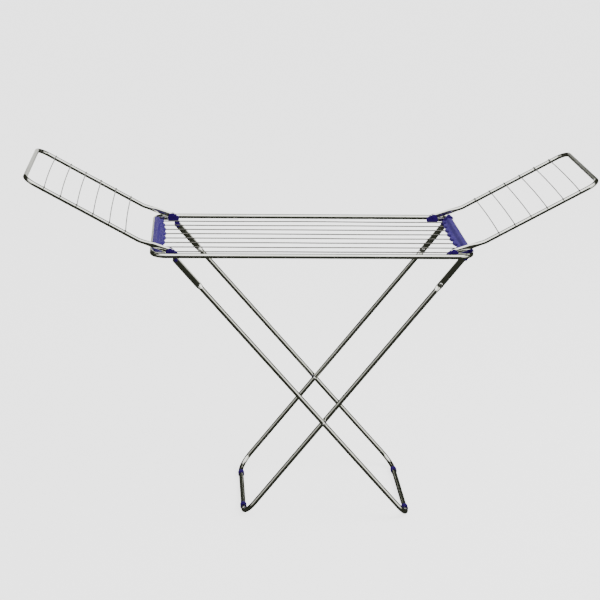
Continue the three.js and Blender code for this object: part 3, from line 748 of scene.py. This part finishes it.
def comb_section(edge):
    """The comb's outline across Y: (inwards from the tube axis, up), counter-clockwise."""
    bore = TUBE_RADIUS + WORKING_GAP
    section = []
    for k in range(13):
        angle = math.radians(100 - 140 * k / 12)
        section.append((bore * math.cos(angle), bore * math.sin(angle)))
    fillet = 0.0012
    section += [
        (RAMP_FOOT - fillet, SHELF_BOTTOM),
        (edge - fillet - 0.0004, SHELF_BOTTOM),
        (edge - 0.0004, SHELF_BOTTOM + fillet),
        (edge, SHELF_TOP - 2.2 * fillet),
        (edge - 0.3 * fillet, SHELF_TOP - 0.6 * fillet),
        (edge - fillet, SHELF_TOP),
    ]
    flat_start = min(RAMP_FOOT + fillet, edge - 2 * fillet)
    ridge = flat_start + 0.5 * (edge - fillet - flat_start)
    rise = 0.0007 * min(1.0, (edge - fillet - flat_start) / 0.004)
    slope = Vector((RAMP_FOOT - RIB_WIDTH, SHELF_TOP - COMB_TOP)).normalized()
    top = Vector((RIB_WIDTH, COMB_TOP))
    foot = Vector((min(RAMP_FOOT, edge - 2.2 * fillet), SHELF_TOP))
    section += [
        (ridge + 0.10 * (edge - flat_start), SHELF_TOP),
        (ridge + 0.05 * (edge - flat_start), SHELF_TOP + rise),
        (ridge - 0.05 * (edge - flat_start), SHELF_TOP + rise),
        (ridge - 0.10 * (edge - flat_start), SHELF_TOP),
        tuple(foot + Vector((0.5 * fillet, 0))),
        tuple(foot - slope * fillet),
        tuple(foot * 0.5 + top * 0.5 - Vector((0.0003, 0.0003))),
        tuple(top + slope * 0.0010),
        tuple(top + Vector((-0.0012, 0))),
    ]
    for groove in (0.0079, 0.0053, 0.0027):
        section += [
            (groove + 0.0005, COMB_TOP),
            (groove + 0.0002, COMB_TOP - 0.0006),
            (groove - 0.0002, COMB_TOP - 0.0006),
            (groove - 0.0005, COMB_TOP),
        ]
    section += [(0.0002, COMB_TOP), (-0.0010, COMB_TOP - 0.0004), (-0.00144, COMB_TOP - 0.0014)]
    return section


def comb_mesh(side):
    places = comb_wire_places()
    stops = set(spaced(-COMB_HALF, COMB_HALF, 86))
    for place in places:
        for offset in (TOOTH_TIP, TOOTH_ROOT):
            stops.update((place - offset, place + offset))
    stops = sorted(y for y in stops if -COMB_HALF <= y <= COMB_HALF)
    vertices = []
    edge_round = 0.0012
    for y in stops:
        squeeze = min(1.0, (COMB_HALF - abs(y)) / edge_round)
        pull = edge_round * (1 - math.sqrt(max(0.0, 1 - (1 - squeeze) ** 2)))
        section = comb_section(comb_edge(y, places) - pull)
        vertices.extend(Vector((u, y, v)) for u, v in section)
    parts = Parts()
    parts.add(vertices, skin(len(stops), len(section)) + caps(len(stops), len(section)))
    wire_height = (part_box("main_wire_1")[1].z - WIRE_RADIUS) - MAIN_HEIGHT
    for place in places:
        tip = shelf_edge(place) + TOOTH_LENGTH
        parts.add(*collar_x(tip - 0.005, tip + 0.0006, place, wire_height))
    mesh = parts.mesh(f"comb_{side}")
    mesh.transform(Matrix.Translation((END_X, 0, MAIN_HEIGHT)) @ Matrix.Rotation(math.pi, 4, "Z"))
    return facing_out(mesh)


def collar_x(u_from, u_to, y, z, sides=24):
    """The round collar that a wire enters, along X, with an open mouth."""
    outer, inner = 0.0042, WIRE_RADIUS + 0.00025
    mouth = 0.0024
    profile = [
        (outer, u_from), (outer, u_to - 0.0010), (outer - 0.0003, u_to - 0.0003),
        (outer - 0.0010, u_to), (inner + 0.0004, u_to), (inner, u_to - 0.0005),
        (inner, u_to - mouth),
    ]
    vertices = []
    for radius, u in profile:
        for k in range(sides):
            angle = 2 * math.pi * k / sides
            vertices.append(Vector((u, y + radius * math.cos(angle), z + radius * math.sin(angle))))
    return vertices, skin(len(profile), sides) + caps(len(profile), sides)


def combs():
    for side in ("left", "right"):
        mesh = comb_mesh(side)
        add_piece(
            f"comb_{side}_moulding", mesh, "comb", "main_frame", f"comb_{side}",
            place=end_turn(side),
        )


# ------------------------------------------------------------------ arms and brackets

def softened_cad(node, edge, segments=3):
    """A copy of a CAD node with its flat faces joined up and its edges rounded."""
    mesh = frame["nodes"][node].data.copy()
    mesh.materials.clear()
    work = bmesh.new()
    work.from_mesh(mesh)
    bmesh.ops.remove_doubles(work, verts=work.verts, dist=1e-6)
    bmesh.ops.dissolve_limit(
        work, angle_limit=math.radians(2), verts=work.verts, edges=work.edges,
    )
    sharp = [e for e in work.edges if e.is_manifold and e.calc_face_angle(0) > math.radians(30)]
    bmesh.ops.bevel(
        work, geom=sharp, offset=edge, segments=segments, profile=0.5, affect="EDGES",
        clamp_overlap=True,
    )
    bmesh.ops.recalc_face_normals(work, faces=work.faces)
    work.to_mesh(mesh)
    work.free()
    return mesh


def hinge_arms():
    for side in ("left", "right"):
        for place in ("front", "back"):
            node = f"hinge_arm_{side}_{place}"
            mesh = softened_cad(node, 0.0006)
            add_piece(f"{node}_steel", mesh, "tube", "main_frame", node)


BRACKET_INNER = 0.238
BRACKET_OUTER = 0.2544
BRACKET_CHEEK = 0.0038
BRACKET_START = 0.421
BRACKET_END = 0.458
WEB_TOP = -0.0024
WEB_BOTTOM = -0.009
LUG_RADIUS = 0.010
LUG_FACE = 0.243


def cheek_outline():
    """A cheek's outline in X outwards and Z from the tube axes, counter-clockwise."""
    return [
        (BRACKET_START, WEB_BOTTOM),
        (BRACKET_END, WEB_BOTTOM),
        (BRACKET_END, 0.005),
        (BRACKET_END - 0.005, 0.0142),
        (BRACKET_END - 0.012, 0.0178),
        (BRACKET_END - 0.019, 0.0170),
        (BRACKET_END - 0.027, 0.010),
        (BRACKET_START - 0.001, 0.0016),
    ]


def web_outline():
    left, right = BRACKET_START + 0.001, BRACKET_END - 0.001
    bottom = WEB_BOTTOM + 0.0002
    return [(left, WEB_TOP), (left, bottom), (right, bottom), (right, WEB_TOP)]


def lug_outline(pivot_x, pivot_z):
    """The lug below a left bracket: half round about the leg's pivot, up into the web."""
    top = WEB_BOTTOM + 0.001
    outline = [(max(pivot_x - 0.8 * LUG_RADIUS, BRACKET_START + 0.001), top)]
    for degrees in range(180, 361, 15):
        angle = math.radians(degrees)
        outline.append(
            (pivot_x + LUG_RADIUS * math.cos(angle), pivot_z + LUG_RADIUS * math.sin(angle))
        )
    outline.append((pivot_x + LUG_RADIUS, top))
    return outline


def hinge_brackets():
    """Two cheeks on a web. The left ones have a lug behind the leg's pressed end."""
    pivot = Vector(joints["right_wing_fold"]["pos_m"])
    cheek = rounded(cheek_outline(), 0.006)
    web = rounded(web_outline(), 0.0008)
    lug = rounded(lug_outline(-OUTER_LEG_TOP.x, OUTER_LEG_TOP.z - MAIN_HEIGHT), 0.001)
    face = BRACKET_OUTER + 0.0006
    boss = [(0.0078, BRACKET_OUTER - 0.001), (0.0078, face - 0.0003), (0.0075, face), (0.0001, face)]
    slabs = [
        (cheek, BRACKET_INNER, BRACKET_INNER + BRACKET_CHEEK, 0.0009),
        (cheek, BRACKET_OUTER - BRACKET_CHEEK, BRACKET_OUTER, 0.0009),
        (web, BRACKET_INNER + 0.001, BRACKET_OUTER - 0.001, 0.0004),
    ]
    for side in ("left", "right"):
        with_lug = [(lug, BRACKET_INNER, LUG_FACE, 0.0007)] if side == "left" else []
        for y_sign in (-1, 1):
            parts = Parts()
            for outline, y_from, y_to, edge in slabs + with_lug:
                parts.add(*slab(outline, *sorted((y_sign * y_from, y_sign * y_to)), edge))
            turned = [(radius, y_sign * y) for radius, y in boss]
            parts.add(*lathe_y(turned, pivot.x, pivot.z - MAIN_HEIGHT))
            mesh = facing_out(parts.mesh("bracket"))
            node = f"hinge_bracket_{side}_{world_y_name(side, y_sign)}"
            place = end_turn(side) @ Matrix.Translation((0, 0, MAIN_HEIGHT))
            add_piece(f"{node}_moulding", mesh, "fitting", "main_frame", node, place=place)


# ------------------------------------------------------------------ rivets and washers

def rivet_profile(y_from, y_to, head_from, head_to):
    """A rivet's profile of (radius, y): two domed heads and the pin between them."""
    dome = []
    for k in range(9):
        angle = math.pi / 2 * k / 8
        dome.append((max(RIVET_HEAD * math.sin(angle), 0.0001), math.cos(angle)))
    return [
        *((radius, y_from - head_from * rise) for radius, rise in dome),
        (RIVET_PIN, y_from),
        (RIVET_PIN, y_to),
        *((radius, y_to + head_to * rise) for radius, rise in reversed(dome)),
    ]


def rivet(node, body, grip_from, grip_to, head_from, head_to, slot="rivet"):
    """Sets a rivet on the axis of its CAD node."""
    low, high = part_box(node)
    x = (low.x + high.x) / 2
    z = (low.z + high.z) / 2
    vertices, faces = lathe_y(rivet_profile(grip_from, grip_to, head_from, head_to), x, z, 32)
    mesh = facing_out(mesh_from(node, vertices, faces))
    add_piece(f"{node}_turned", mesh, slot, body, node)


def bracket_pins():
    """Pins moulded in the brackets' plastic, one for each wing tail and outer leg top."""
    leg_face = OUTER_LEG_HALF_WIDTH + LEG_HALF_THICK
    faces = {f"leg_pin_{place}": leg_face for place in ("front", "back")}
    for side in ("left", "right"):
        faces.update({f"wing_pin_{side}_{place}": BRACKET_OUTER for place in ("front", "back")})
    for node, face in faces.items():
        near, far = BRACKET_INNER - WORKING_GAP, face + 2 * WORKING_GAP
        if node.endswith("back"):
            rivet(node, "main_frame", near, far, 0.0011, 0.0018, "fitting")
        else:
            rivet(node, "main_frame", -far, -near, 0.0018, 0.0011, "fitting")


def crossing_rivets():
    inner = INNER_LEG_HALF_WIDTH - TUBE_RADIUS - WORKING_GAP
    outer = OUTER_LEG_HALF_WIDTH + TUBE_RADIUS + WORKING_GAP
    rivet("cross_rivet_back", "outer_leg", inner, outer, 0.0024, 0.0024)
    rivet("cross_rivet_front", "outer_leg", -outer, -inner, 0.0024, 0.0024)


def crossing_washers():
    """Spacers between the two leg frames, round the crossing rivets."""
    near = INNER_LEG_HALF_WIDTH + TUBE_RADIUS + WORKING_GAP
    far = OUTER_LEG_HALF_WIDTH - TUBE_RADIUS - WORKING_GAP
    bore = RIVET_PIN + WORKING_GAP
    rim = 0.0070
    edge = 0.0004
    profile = [
        (bore, near), (rim - edge, near), (rim, near + edge), (rim, far - edge),
        (rim - edge, far), (bore, far),
    ]
    for place, sign in (("front", -1), ("back", 1)):
        parts = Parts()
        parts.add(*ring_y([(radius, sign * y) for radius, y in profile], CROSSING.x, CROSSING.z))
        mesh = facing_out(parts.mesh("washer"))
        node = f"cross_washer_{place}"
        add_piece(f"{node}_moulding", mesh, "fitting", "outer_leg", node)


# ------------------------------------------------------------------ wings

def wing_place(side):
    pivot = Vector(joints["right_wing_fold"]["pos_m"])
    lift = Matrix.Translation(pivot) @ Matrix.Rotation(-WING_SLOPE, 4, "Y")
    return end_turn(side) @ lift


def wing_tube(side):
    drop = WING_SLOPE - TAIL_SLOPE
    along_tail = Vector((math.cos(drop), 0, -math.sin(drop)))
    up_tail = Vector((math.sin(drop), 0, math.cos(drop)))
    setback = TAIL_BEND_RADIUS * math.tan(drop / 2)

    def on_tail(distance):
        point = along_tail * distance + Y_AXIS * WING_HALF_WIDTH
        return Station(point, along_tail, up_tail, WING_RADIUS)

    stops = spaced(-TAIL_OVERHANG, TAIL_FLAT, 8) + spaced(TAIL_FLAT, TAIL_FLAT + TAIL_TAPER, 12)[1:]
    side_stations = pressed_side(
        stops, TAIL_FLAT, TAIL_TAPER, on_tail, TAIL_HALF_THICK, TAIL_HALF_WIDE, TAIL_DENT,
        TAIL_ROUND_END,
    )
    start = on_tail(TAIL_LENGTH - setback).point

    def facing(turned):
        angle = drop - turned
        return Vector((math.sin(angle), 0, math.cos(angle)))

    side_stations += bend(start, along_tail, X_AXIS, facing, TAIL_BEND_RADIUS, 6, WING_RADIUS)
    bend_x = TAIL_LENGTH * math.cos(drop)
    height = -TAIL_LENGTH * math.sin(drop)
    for x in spaced(bend_x + setback + 0.01, bend_x + WING_REACH - WING_CORNER - 0.01, 8):
        side_stations.append(
            Station((x, WING_HALF_WIDTH, height), X_AXIS, Z_AXIS, WING_RADIUS)
        )
    stations = u_stations(
        side_stations, bend_x + WING_REACH, WING_HALF_WIDTH, WING_CORNER, height, WING_RADIUS,
    )
    mesh = facing_out(mesh_from("wing_tube", *sweep(stations, TUBE_SIDES, TUBE_WALL)))
    node = f"wing_tube_{side}"
    add_piece(f"{node}_skin", mesh, "tube", f"{side}_wing", node, place=wing_place(side))


def weld_bead(x, y, z, length):
    """A small flattened bead of weld where a wire crosses a tube."""
    vertices = []
    rows, columns = 9, 14
    for i in range(rows):
        polar = math.pi * i / (rows - 1)
        for k in range(columns):
            turn = 2 * math.pi * k / columns
            vertices.append(Vector((
                x + 0.0026 * math.sin(polar) * math.cos(turn),
                y + length * math.sin(polar) * math.sin(turn),
                z + 0.0011 * math.cos(polar),
            )))
    return vertices, skin(rows, columns)


def wing_wires(side):
    """Each wire lies across the wing's two tubes, and its ends wrap down over them."""
    drop = WING_SLOPE - TAIL_SLOPE
    wrap_degrees = (14, 26, 38, 50, 62, 74, 84)
    height = -TAIL_LENGTH * math.sin(drop)
    first = TAIL_LENGTH * math.cos(drop) + FIRST_WING_WIRE
    wrap = WING_RADIUS + WING_WIRE_RADIUS - 0.0001
    for i in range(6):
        x = first + i * WING_WIRE_PITCH
        bow = 0.0030 + 0.0012 * noise.noise(Vector((i * 3.3, 2.1, 7.0)))
        far_end, span = [], []
        for angle in map(math.radians, wrap_degrees):
            y = WING_HALF_WIDTH + wrap * math.cos(angle)
            far_end.insert(0, Vector((x, y, height + wrap * math.sin(angle))))
        near_end = [Vector((x, -point.y, point.z)) for point in reversed(far_end)]
        for y in spaced(-WING_HALF_WIDTH, WING_HALF_WIDTH, 24):
            free = 1 - (y / WING_HALF_WIDTH) ** 2
            span.append(Vector((x + bow * free, y, height + wrap - 0.0012 * free)))
        points = near_end + span + far_end
        parts = Parts()
        parts.add(*sweep(rod_stations(points, WING_WIRE_RADIUS), WIRE_SIDES))
        for y in (-WING_HALF_WIDTH, WING_HALF_WIDTH):
            parts.add(*weld_bead(x, y, height + WING_RADIUS + 0.0004, 0.0030))
        mesh = facing_out(parts.mesh("wing_wire"))
        node = f"wing_wire_{side}_{i + 1}"
        add_piece(f"{node}_drawn", mesh, "wire", f"{side}_wing", node, place=wing_place(side))


# ------------------------------------------------------------------ legs

def leg_place(top, foot_x):
    run = Vector((foot_x, 0, FOOT_HEIGHT)) - top
    turn = math.atan2(-run.z, run.x)
    return Matrix.Translation(top) @ Matrix.Rotation(turn, 4, "Y"), run.length


def leg_frame(node, body, top, foot_x, half_width, start, flat, round_end):
    """A U of tube down one leg, along the foot and up the other, with flats at its tops."""
    place, length = leg_place(top, foot_x)

    def on_leg(distance):
        return Station((distance, half_width, 0), X_AXIS, Z_AXIS, TUBE_RADIUS)

    stops = spaced(start, start + 0.008, 8)
    stops += spaced(stops[-1], flat, 12)[1:] + spaced(flat, flat + LEG_TAPER, 12)[1:]
    stations = pressed_side(
        stops, flat, LEG_TAPER, on_leg, LEG_HALF_THICK, LEG_HALF_WIDE, 0.0, round_end,
    )
    for distance in spaced(flat + LEG_TAPER + 0.02, length - LEG_CORNER - 0.02, 16):
        stations.append(on_leg(distance))
    stations = u_stations(stations, length, half_width, LEG_CORNER, 0.0, TUBE_RADIUS)
    mesh = facing_out(mesh_from(node, *sweep(stations, TUBE_SIDES, TUBE_WALL)))
    add_piece(f"{node}_skin", mesh, "tube", body, node, place=place)


def leg_hooks():
    for place in ("front", "back"):
        node = f"leg_hook_{place}"
        add_piece(f"{node}_moulding", softened_cad(node, 0.0010), "fitting", "inner_leg", node)
        sign = 1 if place == "back" else -1
        face = LEG_HALF_THICK + 0.0001
        middle = sign * INNER_LEG_HALF_WIDTH
        rivet(f"hook_rivet_{place}", "inner_leg", middle - face, middle + face, 0.0016, 0.0016)


RING_RADIUS = 0.0104
RING_HALF_LENGTH = 0.011
PAD_HALF_WIDTH = 0.006


def foot_ring_outline(sides, swell):
    """Radius at each angle: round above, with a flat pad underneath."""
    outline = []
    for k in range(sides):
        angle = 2 * math.pi * k / sides
        radius = RING_RADIUS + swell
        if math.sin(angle) < 0:
            pad = FOOT_HEIGHT / -math.sin(angle)
            side = PAD_HALF_WIDTH / max(abs(math.cos(angle)), 1e-6)
            radius = max(min(radius, pad), min(pad, side))
        outline.append((radius, angle))
    return outline


def foot_rings():
    """Moulded rings round the foot tubes, with a raised rim at each end."""
    sides = 72
    bore = TUBE_RADIUS + WORKING_GAP
    # Each point is its distance from the ring's end and its swell. The bore has no swell.
    half_profile = [
        (0.0010, None), (0.0, -0.0010), (0.0, -0.0002), (0.0008, 0.0004), (0.0030, 0.0004),
        (0.0040, -0.0004),
    ]
    profile = [(inwards - RING_HALF_LENGTH, swell) for inwards, swell in half_profile]
    profile += [(-offset, swell) for offset, swell in reversed(profile)]
    for kind, body in (("outer", "outer_leg"), ("inner", "inner_leg")):
        for place in ("front", "back"):
            node = f"foot_ring_{kind}_{place}"
            low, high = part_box(node)
            x = (low.x + high.x) / 2
            y = (low.y + high.y) / 2
            vertices = []
            for offset, swell in profile:
                for radius, angle in foot_ring_outline(sides, swell or 0.0):
                    reach = bore if swell is None else radius
                    vertices.append(Vector((
                        x + reach * math.cos(angle), y + offset,
                        FOOT_HEIGHT + reach * math.sin(angle),
                    )))
            faces = skin(len(profile), sides, closed=True)
            mesh = facing_out(mesh_from(node, vertices, faces))
            add_piece(f"{node}_moulding", mesh, "fitting", body, node)


# ------------------------------------------------------------------ the scene

make_camera()
make_floor()
make_studio_light()
side_tubes()
end_bows()
main_wires()
combs()
hinge_arms()
hinge_brackets()
bracket_pins()
for wing_side in ("left", "right"):
    wing_tube(wing_side)
    wing_wires(wing_side)
outer_low, outer_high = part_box("foot_ring_outer_front")
inner_low, inner_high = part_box("foot_ring_inner_front")
leg_frame(
    "outer_leg_frame", "outer_leg", OUTER_LEG_TOP, (outer_low.x + outer_high.x) / 2,
    OUTER_LEG_HALF_WIDTH, -OUTER_LEG_OVERHANG, OUTER_LEG_FLAT, OUTER_LEG_ROUND_END,
)
leg_frame(
    "inner_leg_frame", "inner_leg", INNER_LEG_TOP, (inner_low.x + inner_high.x) / 2,
    INNER_LEG_HALF_WIDTH, INNER_LEG_START, INNER_LEG_FLAT, None,
)
leg_hooks()
crossing_rivets()
crossing_washers()
foot_rings()
